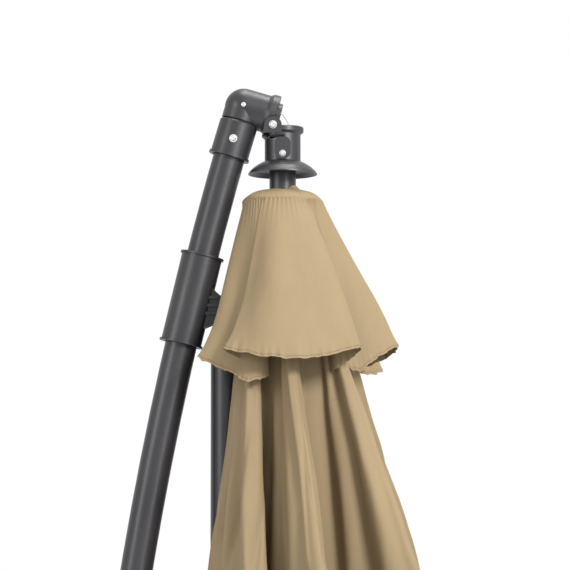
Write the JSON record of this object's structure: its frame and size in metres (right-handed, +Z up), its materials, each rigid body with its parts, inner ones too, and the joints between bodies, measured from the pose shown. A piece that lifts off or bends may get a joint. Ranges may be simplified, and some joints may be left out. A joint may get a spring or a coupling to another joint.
{
  "type": "cantilever parasol",
  "caption": "Closed cantilever parasol: cross base and mast, curved sliding boom in a tilting sleeve, elbow, hinged canopy head, rib frame and vented fabric canopy.",
  "frame": {"origin": "on the ground at the mast's centre line, the bottom centre of the cross base", "axes": "+X from the mast towards the canopy, +Y to the back, +Z up"},
  "size_m": [1, 1, 2.4538],
  "materials": {
    "charcoal_steel": "satin charcoal powder coat",
    "zinc_steel": "bright zinc",
    "dark_plastic": "fine-textured moulded plastic",
    "foot_rubber": "matt",
    "rib_steel": "satin charcoal powder coat",
    "khaki_fabric": "plain-woven polyester, khaki tan",
    "cord_black": "thin braided cord"
  },
  "bodies": {
    "stand": {"base_bar_long": "charcoal_steel", "base_bars_short": "charcoal_steel", "base_bolts": "zinc_steel", "base_end_caps": "dark_plastic", "base_feet": "foot_rubber", "base_plate": "charcoal_steel", "mast_lower": "charcoal_steel", "mast_upper": "charcoal_steel", "mast_joint_sleeve": "zinc_steel", "mast_top_fitting": "dark_plastic", "brace_pivot_bolt": "zinc_steel", "crank_housing": "dark_plastic", "crank_housing_cover": "dark_plastic", "crank_housing_screws": "zinc_steel"},
    "sleeve": {"sleeve": "dark_plastic", "sleeve_liner": "dark_plastic", "tilt_pin": "zinc_steel"},
    "boom": {"boom_upper": "charcoal_steel", "boom_lower": "charcoal_steel", "boom_joint_sleeve": "zinc_steel", "boom_end_fitting": "dark_plastic", "elbow": "dark_plastic", "elbow_collar": "dark_plastic", "cord_guide": "dark_plastic", "elbow_screws": "zinc_steel", "lift_cord": "cord_black"},
    "brace": {"brace_bars": "charcoal_steel", "brace_end_bolts": "zinc_steel"},
    "crank": {"crank_arm": "charcoal_steel", "cord_drum": "dark_plastic"},
    "knob": {"crank_knob": "dark_plastic"},
    "head": {"canopy_cap": "khaki_fabric", "canopy_main": "khaki_fabric", "canopy_pole": "charcoal_steel", "canopy_vent": "khaki_fabric", "crown_hub": "dark_plastic", "head_barrel": "dark_plastic", "head_cover_plate": "dark_plastic", "head_hinge_bolt": "zinc_steel", "head_screw": "zinc_steel", "pole_end_cap": "dark_plastic", "rib_1": "rib_steel", "rib_2": "rib_steel", "rib_3": "rib_steel", "rib_4": "rib_steel", "rib_5": "rib_steel", "rib_6": "rib_steel", "rib_7": "rib_steel", "rib_8": "rib_steel", "runner": "dark_plastic", "strut_1": "rib_steel", "strut_2": "rib_steel", "strut_3": "rib_steel", "strut_4": "rib_steel", "strut_5": "rib_steel", "strut_6": "rib_steel", "strut_7": "rib_steel", "strut_8": "rib_steel"}
  },
  "joints": [
    {"name": "boom_tilt", "type": "hinge", "parent": "stand", "child": "sleeve", "pos_m": [0.006, 0, 2.118], "axis": [0, 1, 0], "range_deg": [0, 61.3]},
    {"name": "boom_slide", "type": "hinge", "parent": "sleeve", "child": "boom", "pos_m": [5.39454, 0, 0.83621], "axis": [0, 1, 0], "range_deg": [-0.01, 13.01]},
    {"name": "brace_swing", "type": "hinge", "parent": "stand", "child": "brace", "pos_m": [0, 0, 1.2297], "axis": [0, 1, 0], "range_deg": [-0.1, 133.26]},
    {"name": "head_hinge", "type": "hinge", "parent": "boom", "child": "head", "pos_m": [0.069, 0, 2.3945], "axis": [0, 1, 0], "range_deg": [-74.4, 0.1]},
    {"name": "crank_turn", "type": "hinge", "parent": "stand", "child": "crank", "pos_m": [0, 0.05, 0.85], "axis": [0, 1, 0], "continuous": true},
    {"name": "crank_knob_spin", "type": "hinge", "parent": "crank", "child": "knob", "pos_m": [0, 0.1, 0.765], "axis": [0, 1, 0], "continuous": true}
  ],
  "couplings": [
    {"joint": "boom_slide", "follows": "boom_tilt", "ratio": 0.21207},
    {"joint": "brace_swing", "follows": "boom_tilt", "ratio": 2.1723},
    {"joint": "head_hinge", "follows": "boom_tilt", "ratio": -1.2121}
  ]
}
